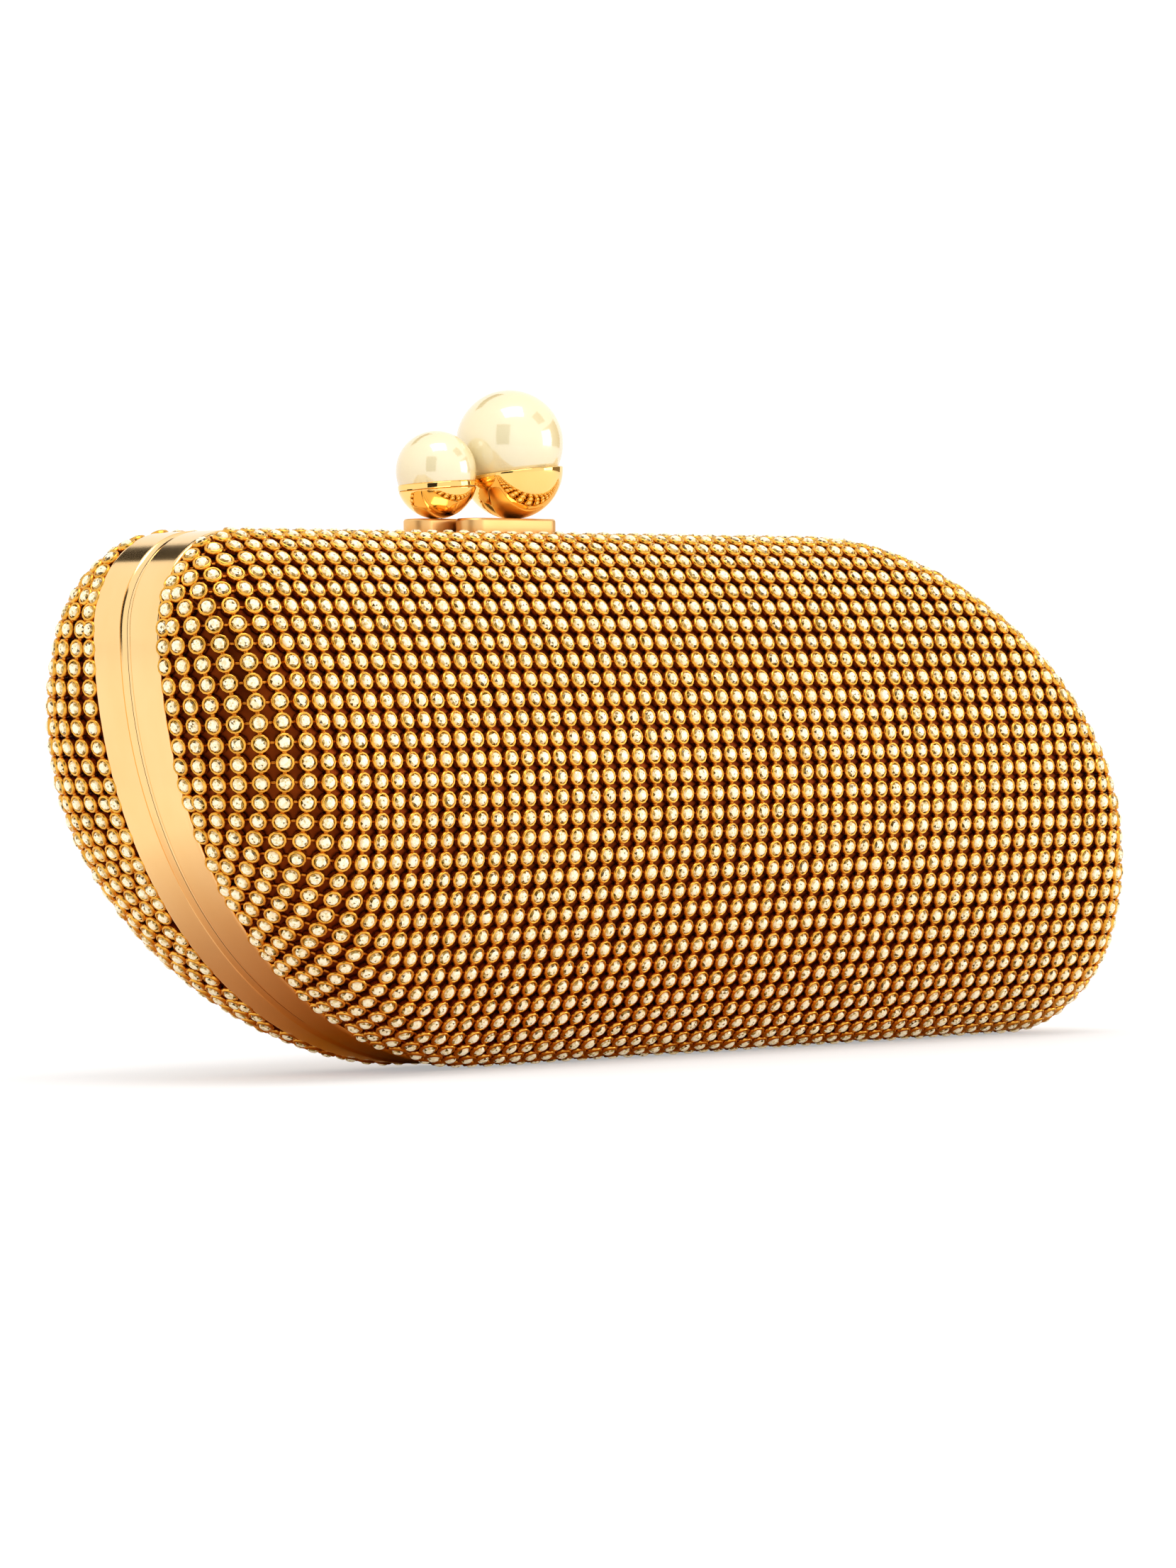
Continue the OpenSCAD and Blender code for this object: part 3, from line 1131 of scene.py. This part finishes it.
@dataclass
class StoneShape:
    """A round-cut stone: a table, two tiers of crown facets and a flat back in the cup.

    The pairs are a ring's radius and height over the crest of the cup's rim.
    """

    table: Pair = (0.42, 0.3)
    star: Pair = (0.74, 0.15)
    girdle: Pair = (0.97, -0.22)
    sides: int = 8

    def build(self) -> Object:
        """Builds one stone, with each face's tier.

        Returns:
            The stone.
        """
        n = self.sides
        steps = np.arange(n) * 2 * math.pi / n
        turned = steps + math.pi / n
        rings = [circle(*self.table, steps), circle(*self.star, turned)]
        points = np.concatenate([*rings, circle(*self.girdle, steps), [[0, 0, self.table[1]]]])
        centre = 3 * n
        faces = [[centre, j, (j + 1) % n] for j in range(n)]
        for j in range(n):
            step = (j + 1) % n
            faces += [[j, n + j, step], [step, n + j, n + step]]
            faces += [[n + j, 2 * n + step, n + step], [n + j, 2 * n + j, 2 * n + step]]
        faces.append([2 * n + j for j in range(n)][::-1])
        stone = mesh_object("stone_shape", points, faces)
        tier = stone.data.attributes.new("tier", "FLOAT", "FACE")
        for face in stone.data.polygons:
            lowest = min(stone.data.vertices[k].co.z for k in face.vertices)
            tier.data[face.index].value = 1.0 if lowest < 0 else 0.0
        return stone


@dataclass
class CarrierTree:
    """A Geometry Nodes tree that puts something on a carrier of the cups' places.

    Args:
        name: Name of the piece that it makes.
        given: Each input's socket type and value, by name.
    """

    name: str
    given: dict[str, tuple[str, object]]

    def __post_init__(self) -> None:
        """Starts the tree with its named inputs and the cups' outward direction."""
        self.tree = bpy.data.node_groups.new(f"{self.name}_nodes", "GeometryNodeTree")
        new_socket = self.tree.interface.new_socket
        for label, (kind, _) in {"Geometry": ("Geometry", None), **self.given}.items():
            new_socket(label, in_out="INPUT", socket_type=f"NodeSocket{kind}")
        new_socket("Geometry", in_out="OUTPUT", socket_type="NodeSocketGeometry")
        self.inputs = self.add("NodeGroupInput").outputs
        self.outward = self.add(
            "GeometryNodeInputNamedAttribute", {"Name": "outward"}, data_type="FLOAT_VECTOR"
        ).outputs["Attribute"]

    def add(self, kind: str, inputs: dict | None = None, **settings: object) -> Node:
        """Adds a node to the tree, as add_node does."""
        return add_node(self.tree, kind, inputs, **settings)

    def moved(self, distance: NodeSocket | Node) -> Node:
        """Moves the carrier's points outwards by a distance, given as a socket or a node."""
        shift = self.add(
            "ShaderNodeVectorMath", {0: self.outward, "Scale": distance}, operation="SCALE"
        )
        return self.add(
            "GeometryNodeSetPosition", {"Geometry": self.inputs["Geometry"], "Offset": shift}
        )

    def grow(self, made: Node, carrier: Object) -> Object:
        """Ends the tree, runs it on a carrier and keeps the result as a plain mesh.

        Args:
            made: The node that holds what the tree makes, realized.
            carrier: The carrier, which stays as it is.

        Returns:
            The new piece.
        """
        dressed = self.add(
            "GeometryNodeSetMaterial", {"Geometry": made, "Material": self.inputs["Finish"]}
        )
        self.add("NodeGroupOutput", {"Geometry": dressed})
        piece = place_object(self.name, carrier.data.copy())
        modifier = piece.modifiers.new("grow", "NODES")
        modifier.node_group = self.tree
        for item in self.tree.interface.items_tree:
            if item.in_out == "INPUT" and item.name in self.given:
                modifier[item.identifier] = self.given[item.name][1]
        depsgraph = bpy.context.evaluated_depsgraph_get()
        grown = piece.evaluated_get(depsgraph)
        plain = bpy.data.meshes.new_from_object(grown, depsgraph=depsgraph)
        piece.modifiers.clear()
        piece.data = plain
        return piece


@dataclass
class StoneMesh:
    """The rhinestone mesh of one half: cups, the stones in them and the links between.

    Cups and stones are each made in an upper and a lower piece, to keep every
    piece's count of triangles down.
    """

    side: Side
    net: StoneNet
    tilt: float = 4.0
    play: float = 0.04
    link_r: float = 0.4
    tie_r: float = 0.24
    link_depth: float = 0.62
    tie_depth: float = 0.95
    bar_sides: int = 6
    front_seed: int = 11
    rear_seed: int = 23
    seed_step: int = 5

    def carrier(self, name: str, cups: dict[Cell, Vector], edges: list[Cell]) -> Object:
        """Makes a mesh of the cups' places, each with its outward direction.

        Args:
            name: The carrier's name.
            cups: The cups that it carries.
            edges: Pairs of point numbers to join.

        Returns:
            The carrier.
        """
        mesh = bpy.data.meshes.new(name)
        mesh.from_pydata([p * self.side.flip * MM for p in cups.values()], edges, [])
        outward = mesh.attributes.new("outward", "FLOAT_VECTOR", "POINT")
        normals = [v for p in cups.values() for v in self.net.outward(p) * self.side.flip]
        outward.data.foreach_set("vector", normals)
        return place_object(name, mesh)

    def plant(
        self, name: str, carrier: Object, shape: Object, finish: Finish, seed: int
    ) -> Object:
        """Plants a shape on every place of a carrier, each a little out of true.

        Args:
            name: The piece's name.
            carrier: The places.
            shape: What is planted.
            finish: Its finish.
            seed: Seed of the tilts, of the heights and of the faces' facet numbers.

        Returns:
            The piece.
        """
        given = {
            "Shape": ("Object", shape),
            "Tilt": ("Float", math.radians(self.tilt)),
            "Play": ("Float", self.play * MM),
            "Seed": ("Int", seed),
            "Finish": ("Material", finish.material),
        }
        tree = CarrierTree(name, given)
        tilt, play, draw = (tree.inputs[label] for label in ("Tilt", "Play", "Seed"))
        facing = tree.add("FunctionNodeAlignRotationToVector", {"Vector": tree.outward}, axis="Z")
        lean = tree.add("ShaderNodeCombineXYZ", {"X": tilt, "Y": tilt, "Z": math.pi})
        back = tree.add("ShaderNodeVectorMath", {0: lean, "Scale": -1.0}, operation="SCALE")
        turn = tree.add(
            "FunctionNodeRandomValue", {0: back, 1: lean, "Seed": draw}, data_type="FLOAT_VECTOR"
        )
        turned = tree.add(
            "FunctionNodeRotateRotation",
            {"Rotation": facing, "Rotate By": tree.add("FunctionNodeEulerToRotation", {0: turn})},
            rotation_space="LOCAL",
        )
        drop = tree.add("ShaderNodeMath", {0: play, 1: -1.0}, operation="MULTIPLY")
        lift = tree.add(
            "FunctionNodeRandomValue", {2: drop, 3: play, "Seed": draw}, data_type="FLOAT"
        )
        moved = tree.moved(lift.outputs[1])
        info = tree.add("GeometryNodeObjectInfo", {"Object": tree.inputs["Shape"]})
        planted = tree.add(
            "GeometryNodeInstanceOnPoints",
            {"Points": moved, "Instance": info.outputs["Geometry"], "Rotation": turned},
        )
        real = tree.add("GeometryNodeRealizeInstances", {0: planted})
        # A random facet number on each face; the crystal material paints its reflections by it.
        flash = tree.add("FunctionNodeRandomValue", {"Seed": draw}, data_type="FLOAT")
        stored = tree.add(
            "GeometryNodeStoreNamedAttribute",
            {"Geometry": real, "Name": "facet", "Value": flash.outputs[1]},
            data_type="FLOAT",
            domain="FACE",
        )
        return tree.grow(stored, carrier)

    def string(self, name: str, carrier: Object, radius: float, depth: float) -> Object:
        """Strings round links along a carrier's edges.

        Args:
            name: The piece's name.
            carrier: The places, joined by edges.
            radius: The links' radius.
            depth: How far they lie below the cups' rims.

        Returns:
            The piece.
        """
        given = {
            "Radius": ("Float", radius * MM),
            "Depth": ("Float", depth * MM),
            "Finish": ("Material", Finish.LINK.material),
        }
        tree = CarrierTree(name, given)
        down = tree.add("ShaderNodeMath", {0: tree.inputs["Depth"], 1: -1.0}, operation="MULTIPLY")
        lines = tree.add("GeometryNodeMeshToCurve", {0: tree.moved(down)})
        size = {"Resolution": self.bar_sides, "Radius": tree.inputs["Radius"]}
        section = tree.add("GeometryNodeCurvePrimitiveCircle", size)
        shape = {"Curve": lines, "Profile Curve": section, "Fill Caps": True}
        bars = tree.add("GeometryNodeCurveToMesh", shape)
        return tree.grow(tree.add("GeometryNodeRealizeInstances", {0: bars}), carrier)

    def build(self) -> None:
        """Builds the cups, the stones and the links of this half."""
        label = self.side.label
        cups = self.net.kept()
        order = {key: k for k, key in enumerate(cups)}
        seed = self.front_seed if self.side is Side.FRONT else self.rear_seed
        cup_shape, stone_shape = CupShape().build(), StoneShape().build()
        for part, is_upper in (("upper", True), ("lower", False)):
            chosen = {key: p for key, p in cups.items() if (key[0] >= 0) == is_upper}
            places = self.carrier(f"{label}_{part}_places", chosen, [])
            for kind, shape, finish, slot, node in (
                ("cups", cup_shape, Finish.CUP, "cup_gold", "cup_mesh"),
                ("crystals", stone_shape, Finish.CRYSTAL, "crystal", "crystals"),
            ):
                piece = self.plant(f"{label}_mesh_{kind}_{part}", places, shape, finish, seed)
                finish_piece(piece, self.side, replaces=(f"{label}_{node}",))
            bpy.data.objects.remove(places)
            seed += self.seed_step
        for kind, (up, along), radius, depth in (
            ("links", (1, 0), self.link_r, self.link_depth),
            ("ties", (0, 1), self.tie_r, self.tie_depth),
        ):
            edges = [
                (k, order[i + up, j + along])
                for (i, j), k in order.items()
                if (i + up, j + along) in order
            ]
            joined = self.carrier(f"{label}_{kind}_places", cups, edges)
            piece = self.string(f"{label}_mesh_{kind}", joined, radius, depth)
            bpy.data.objects.remove(joined)
            for face in piece.data.polygons:
                face.use_smooth = True
            finish_piece(piece, self.side)
        for spare in (cup_shape, stone_shape):
            bpy.data.objects.remove(spare)


# ------------------------------------------------------------------ clasp


def cad_corners(node: str) -> tuple[Vector, Vector]:
    """Low and high corners of a CAD node's box, in millimetres."""
    low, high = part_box(node)
    return low / MM, high / MM


@dataclass
class ClaspPlate:
    """A bar with round ends and softened edges under a knob."""

    side: Side
    edge_r: float = 0.45
    foot_r: float = 0.15
    edge_steps: int = 6
    foot_steps: int = 3
    turn_steps: int = 24

    def build(self) -> None:
        """Builds the plate over its CAD node's box."""
        node = f"{self.side.label}_clasp_plate"
        low, high = cad_corners(node)
        radius = (high.y - low.y) / 2
        middle_y = (high.y + low.y) / 2
        foot_z, edge_z = low.z + self.foot_r, high.z - self.edge_r
        profile = arc(self.foot_r, foot_z, self.foot_r, 270, 180, self.foot_steps)
        profile += arc(self.edge_r, edge_z, self.edge_r, 180, 90, self.edge_steps)
        rings = []
        for inset, z in profile:
            r = radius - inset
            left = arc(low.x + radius, middle_y, r, 90, 270, self.turn_steps)
            right = arc(high.x - radius, middle_y, r, -90, 90, self.turn_steps)
            rings.append([(x, y, z) for x, y in left + right])
        name = f"{self.side.label}_plate_bar"
        piece = mesh_object(name, *loft(np.array(rings), Ends.CAPPED))
        shade(piece, crease=30)
        finish_piece(piece, self.side, Finish.PLATE, (node,))


@dataclass
class PearlKnob:
    """A pearl in its mirror gold cup, each from its CAD node's box.

    The cup leans by some degrees about the pearl's middle. A collar stands up
    from its rim where it has one.
    """

    size: str
    side: Side
    lean: float
    collar: float = 0.0
    lean_axis: tuple[float, float, float] = (0.74, 0.67, 0.0)
    rim_r: float = 0.22
    seat_clear: float = 0.03
    foot_sink: float = 0.05
    collar_in: float = 0.15
    collar_step: float = 0.12
    mouth_flare: float = 0.05
    mouth_drop: float = 0.1
    waver: float = 0.0012
    steps: int = 96
    bowl_steps: int = 28
    rim_steps: int = 5
    collar_steps: int = 4
    seat_steps: int = 20

    def cup_profile(
        self, bowl_r: float, base: float, top: float, bead_r: float, bead_z: float
    ) -> list[Pair]:
        """Draws the cup's section, up the outside, over the rim and down the seat.

        Args:
            bowl_r: Radius of the bowl.
            base: Height of its flat foot.
            top: Height of its upper edge.
            bead_r: Radius of the pearl.
            bead_z: Height of the pearl's middle.

        Returns:
            Radius and height pairs, from the bottom pole.
        """
        rim_r, rim = self.rim_r, top - self.collar
        bowl_z = base + bowl_r - self.foot_sink
        seat_r = bead_r + self.seat_clear
        foot = math.sqrt(bowl_r**2 - (bowl_z - base) ** 2)
        start = math.degrees(math.asin((base - bowl_z) / bowl_r))
        end = math.degrees(math.asin(min(1.0, (rim - rim_r - bowl_z) / bowl_r)))
        profile = [(0.0, base), (foot * 0.6, base), (foot, base)]
        profile += arc(0.0, bowl_z, bowl_r, start, end, self.bowl_steps)[1:]
        edge = profile[-1][0] - rim_r
        profile += arc(edge, rim - rim_r, rim_r, 0, 90, self.rim_steps)[1:]
        if self.collar:
            ring = bead_r - self.collar_in
            profile += [(ring + self.collar_step, rim), (ring, rim + self.collar_step)]
            profile += arc(ring - rim_r, top - rim_r, rim_r, 0, 90, self.collar_steps)
        mouth = math.sqrt(max(0.0, seat_r**2 - (top - bead_z) ** 2))
        profile.append((mouth + self.mouth_flare, top))
        inner = math.degrees(math.asin((top - self.mouth_drop - bead_z) / seat_r))
        return profile + arc(0.0, bead_z, seat_r, inner, -90, self.seat_steps)

    def build(self) -> None:
        """Builds the cup and the pearl."""
        cup_node, pearl_node = f"{self.size}_pearl_cup", f"{self.size}_pearl"
        low, high = cad_corners(pearl_node)
        centre, bead_r = np.array((low + high) / 2), (high.z - low.z) / 2
        cup_low, cup_high = cad_corners(cup_node)
        bowl_r = (cup_high.x - cup_low.x) / 2
        middle = np.array([0.0, 0.0, centre[2]])
        profile = self.cup_profile(bowl_r, cup_low.z, cup_high.z, bead_r, centre[2])
        points, faces = lathe(profile, self.steps, Ends.POLES)
        tip = np.array(Matrix.Rotation(math.radians(self.lean), 3, Vector(self.lean_axis)))
        cup = mesh_object(f"{self.size}_mirror_cup", (points - middle) @ tip.T + centre, faces)
        shade(cup, crease=40)
        finish_piece(cup, self.side, Finish.MIRROR, (cup_node,))
        ball = arc(0.0, centre[2], bead_r, -90, 90, self.steps // 2)
        points, faces = lathe(ball, self.steps, Ends.POLES)
        x, y, z = points.T
        wave = 1 + self.waver * np.sin(3 * np.arctan2(y, x) + z) * np.cos(0.5 * z)
        name = f"{self.size}_lacquered_pearl"
        bead = mesh_object(name, (points - middle) * wave[:, None] + centre, faces)
        shade(bead, crease=60)
        finish_piece(bead, self.side, Finish.PEARL, (pearl_node,))


# ----------------------------------------------------------------- studio


@dataclass(frozen=True)
class Spot:
    """A place round the bag, where azimuth 0 is straight in front and 90 to its right."""

    azimuth: float
    elevation: float
    distance: float

    @property
    def place(self) -> Vector:
        """The place.

        Returns:
            The place in metres.
        """
        turn, tip = math.radians(self.azimuth), math.radians(self.elevation)
        flat = self.distance * math.cos(tip)
        rise = self.distance * math.sin(tip)
        return Vector((flat * math.sin(turn), -flat * math.cos(turn), rise))


@dataclass(frozen=True)
class SoftBox:
    """A soft box that faces its target.

    Args:
        name: Its name.
        spot: Where it hangs.
        size: Its width and height, in metres.
        power: Its power in watts.
        target: What it faces, in metres.
    """

    name: str
    spot: Spot
    size: Pair
    power: float = 4.0
    target: tuple[float, float, float] = (0.0, 0.0, 0.05)

    def build(self) -> None:
        """Hangs the box."""
        data = bpy.data.lights.new(self.name, "AREA")
        data.shape = "RECTANGLE"
        data.size, data.size_y = self.size
        data.energy = self.power
        lamp = place_object(self.name, data)
        lamp.visible_camera = False
        place = self.spot.place
        turn = (place - Vector(self.target)).to_track_quat("Z", "Y")
        lamp.matrix_world = Matrix.Translation(place) @ turn.to_matrix().to_4x4()


def paper(name: str, colour: tuple, glow: float = 0.0) -> tuple[Material, partial, Node]:
    """Makes matt paper.

    Args:
        name: The material's name.
        colour: Its linear colour.
        glow: How strongly it shines white by itself.

    Returns:
        As new_material does.
    """
    made, add, shader = new_material(name)
    set_inputs(shader, {"Base Color": colour, "Roughness": 0.9, "Specular IOR Level": 0.1})
    if glow:
        set_inputs(shader, {"Emission Color": (1.0, 1.0, 1.0, 1.0), "Emission Strength": glow})
    return made, add, shader


@dataclass(frozen=True)
class Card:
    """A matt card that only the metal and the pearls see, in their reflections; a card under the
    bag is a painted shadow, darkest in its middle.

    Args:
        name: Its name.
        size: Its width and height, in metres.
        spot: Where it stands, turned to the bag, or None where it lies under it.
        colour: sRGB colour in its middle.
        surround: sRGB colour that a card under the bag fades to.
        fade: Where its own colour is full, from 0 at its edge to 1 in its middle.
    """

    name: str
    size: Pair
    spot: Spot | None
    colour: str = "#302c28"
    surround: str = "#f3f3f3"
    fade: float = 0.6

    def build(self, floor_z: float) -> None:
        """Places the card.

        Args:
            floor_z: Height in metres that a card under the bag lies at.
        """
        place = Vector((0.0, 0.0, floor_z)) if self.spot is None else self.spot.place
        turn = Quaternion() if self.spot is None else place.to_track_quat("Z", "Y")
        half_w, half_h = self.size[0] / 2 / MM, self.size[1] / 2 / MM
        points = [turn @ Vector((x * half_w, y * half_h, 0)) + place / MM for x, y in CORNERS]
        card = mesh_object(self.name, np.array(points), [[0, 1, 2, 3]], close=False)
        made, add, shader = paper(f"{self.name}_paper", linear(self.colour))
        # A card under the bag is a painted shadow, seen only in reflections, that fades to the
        # surround at its edge.
        if self.spot is None:
            where = add("ShaderNodeTexCoord").outputs["Object"]
            reach = (2 / self.size[0], 2 / self.size[1], 1.0)
            centred = add("ShaderNodeVectorMath", {0: where, 1: place}, operation="SUBTRACT")
            scaled = add("ShaderNodeVectorMath", {0: centred, 1: reach}, operation="MULTIPLY")
            near = add("ShaderNodeTexGradient", {"Vector": scaled}, gradient_type="SPHERICAL")
            ease = add("ShaderNodeMapRange", {"Value": near.outputs["Fac"], "From Max": self.fade})
            tone = add(
                "ShaderNodeMix",
                {"Factor": ease, MIX_A: linear(self.surround), MIX_B: linear(self.colour)},
                data_type="RGBA",
            )
            set_inputs(shader, {"Base Color": tone.outputs[MIX_OUT]})
        card.data.materials.append(made)
        card.visible_camera = card.visible_diffuse = card.visible_shadow = False


@dataclass
class Studio:
    """A white floor, a white sky, soft boxes and cards, with the camera.

    Angles are in degrees and the camera's distance and the floor's size in
    metres. aim_right and aim_up turn the view off the bag's middle.
    """

    azimuth: float = -47.909
    elevation: float = 0.492
    roll: float = -0.797
    distance: float = 1.1228
    lens: float = 166.14
    aim_right: float = 0.0034207
    aim_up: float = -0.0014566
    clip: Pair = (0.01, 50.0)
    floor_size: float = 8.0
    floor_z: float = -0.6
    floor_grey: float = 0.55
    floor_glow: float = 0.42
    sky_strength: float = 1.12
    card_lift: float = 0.1
    boxes: tuple[SoftBox, ...] = (
        SoftBox("top_box", Spot(-30, 72, 1.2), (0.7, 0.5)),
        SoftBox("right_box", Spot(42, 12, 1.5), (0.7, 0.6)),
    )
    cards: tuple[Card, ...] = (
        Card("camera_side_card", (0.75, 1.35), Spot(-62, 18, 1.5)),
        Card("upper_right_card", (0.6, 0.45), Spot(42, 44, 1.5)),
        Card("upper_rear_card", (0.8, 0.3), Spot(163, 47, 1.5)),
        # A painted shadow under the bag, in shaded-gold orange, seen only in reflections.
        Card("table_card", (0.3, 0.16), None, "#c07c14"),
        Card("front_right_card", (2.4, 1.5), Spot(62, 8, 2.2), "#8c7960"),
    )

    def camera(self, height: float) -> None:
        """Places the camera.

        Args:
            height: The bag's height in millimetres, whose middle it is aimed at.
        """
        roll = math.radians(self.roll)
        back = Spot(self.azimuth, self.elevation, 1.0).place
        level = (-back).cross(Vector((0, 0, 1))).normalized()
        upright = level.cross(-back)
        right = level * math.cos(roll) + upright * math.sin(roll)
        up = upright * math.cos(roll) - level * math.sin(roll)
        data = bpy.data.cameras.new("packshot_camera")
        data.lens = self.lens
        data.clip_start, data.clip_end = self.clip
        made = place_object("packshot_camera", data)
        aim = -back + right * self.aim_right + up * self.aim_up
        place = Vector((0, 0, height / 2 * MM)) - aim * self.distance
        turned = Matrix((right, up, back)).transposed().to_4x4()
        made.matrix_world = Matrix.Translation(place) @ turned
        bpy.context.scene.camera = made

    def floor(self) -> None:
        """Lays a plain white floor that is partly self-lit."""
        half = self.floor_size / 2 / MM
        points = [(x * half, y * half, self.floor_z) for x, y in CORNERS]
        floor = mesh_object("studio_floor", np.array(points), [[0, 1, 2, 3]], close=False)
        grey = (self.floor_grey, self.floor_grey, self.floor_grey, 1.0)
        made, _, _ = paper("white_paper_sweep", grey, self.floor_glow)
        floor.data.materials.append(made)

    def sky(self) -> None:
        """Surrounds the set with even white light."""
        world = bpy.data.worlds.new("white_studio")
        world.use_nodes = True
        light = {"Color": (1, 1, 1, 1), "Strength": self.sky_strength}
        set_inputs(world.node_tree.nodes["Background"], light)
        bpy.context.scene.world = world
        bpy.context.scene.view_settings.view_transform = "Standard"

    def build(self, height: float) -> None:
        """Builds the set.

        Args:
            height: The bag's height in millimetres.
        """
        self.sky()
        self.floor()
        self.camera(height)
        for box in self.boxes:
            box.build()
        for card in self.cards:
            card.build((self.floor_z + self.card_lift) * MM)


# -------------------------------------------------------------------- main


def dress_cad_nodes() -> None:
    """Gives the CAD nodes that stay in view their finishes."""
    kept = {
        Finish.BRASS: ("front_hinge_leaf", "rear_hinge_leaf"),
        Finish.STEEL: (
            "hinge_pin",
            "front_leaf_rivets",
            "rear_leaf_rivets",
            "front_plate_pegs",
            "rear_plate_pegs",
            "large_knob_screw",
            "small_knob_screw",
        ),
    }
    for finish, names in kept.items():
        for name in names:
            node = frame["nodes"][name]
            node.data.materials.clear()
            node.data.materials.append(finish.material)


def main() -> None:
    """Builds the bag and its set."""
    logging.basicConfig(level=logging.INFO, format="%(name)s %(message)s")
    form = CaseForm.from_frame()
    net = StoneNet(form)
    net.drape()
    LOG.info("net of %d places", len(net.places))
    for side in Side:
        Band(form, side).build()
        DomeLayers(form, side).build()
        StoneMesh(side, net).build()
        ClaspPlate(side).build()
    PearlKnob("large", Side.FRONT, lean=-6.0).build()
    PearlKnob("small", Side.REAR, lean=-3.5, collar=0.9).build()
    dress_cad_nodes()
    Studio().build(form.height)


if __name__ == "__main__":
    main()
